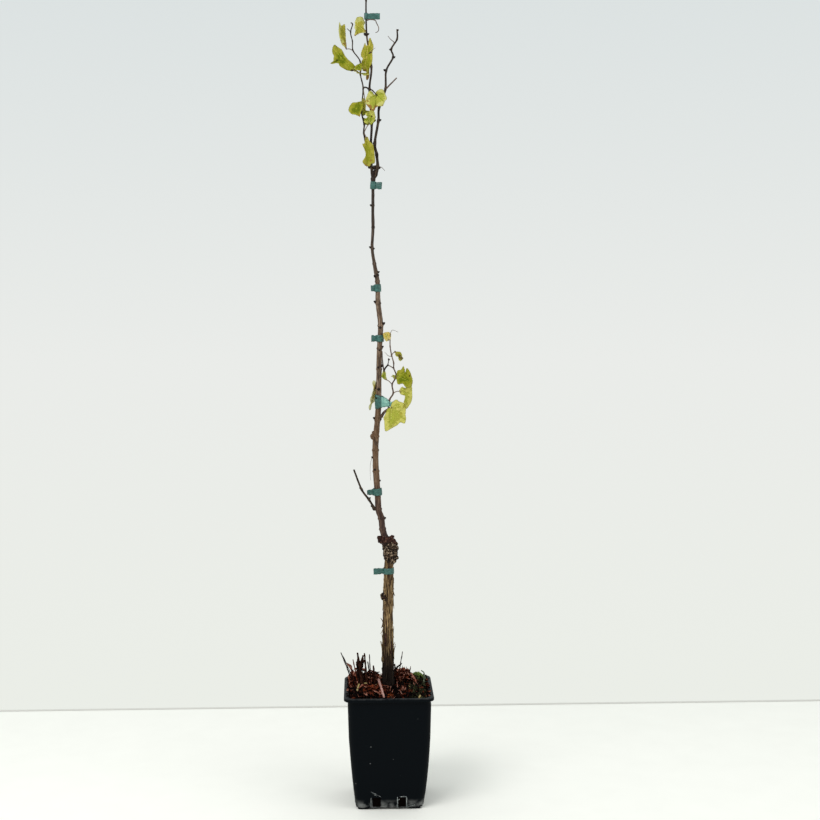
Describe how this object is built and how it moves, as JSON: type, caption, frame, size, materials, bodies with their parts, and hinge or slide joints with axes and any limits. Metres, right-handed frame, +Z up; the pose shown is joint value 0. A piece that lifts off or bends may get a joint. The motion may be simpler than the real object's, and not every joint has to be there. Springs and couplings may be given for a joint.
{
  "type": "potted grapevine",
  "caption": "Young grafted grapevine with a bare trunk, a tied upright cane, small yellow-green leaves and a leafy tip, in a tall square black nursery pot of compost and litter.",
  "frame": {"origin": "on the ground under the middle of the pot's foot", "axes": "+Z up along the vine, -Y towards the viewer, +X to the viewer's right, pot sides along X and Y"},
  "size_m": [0.1706, 0.1532, 1.4579],
  "materials": {
    "black_polypropylene": "satin, scuffed",
    "potting_compost": "moist, crumbly",
    "dead_leaf_litter": "matt",
    "green_moss": "matt",
    "vine_bark": "shaggy, matt",
    "ripened_cane": "smooth, satin",
    "vine_leaf": "satin",
    "green_tie_tape": "satin"
  },
  "bodies": {
    "root": {"pot": "black_polypropylene", "compost": "potting_compost", "leaf_litter": "dead_leaf_litter", "moss_tuft": "green_moss", "trunk": "vine_bark", "graft_head": "vine_bark", "main_cane": "ripened_cane", "leader_cane": "ripened_cane", "right_cane": "ripened_cane", "dead_twig": "ripened_cane", "left_shoot": "vine_leaf", "lower_shoot": "vine_leaf", "hanging_leaf": "vine_leaf", "tie_1": "green_tie_tape", "tie_2": "green_tie_tape", "tie_3": "green_tie_tape", "tie_4": "green_tie_tape", "tie_5": "green_tie_tape", "tie_6": "green_tie_tape", "tie_7": "green_tie_tape"}
  },
  "joints": []
}
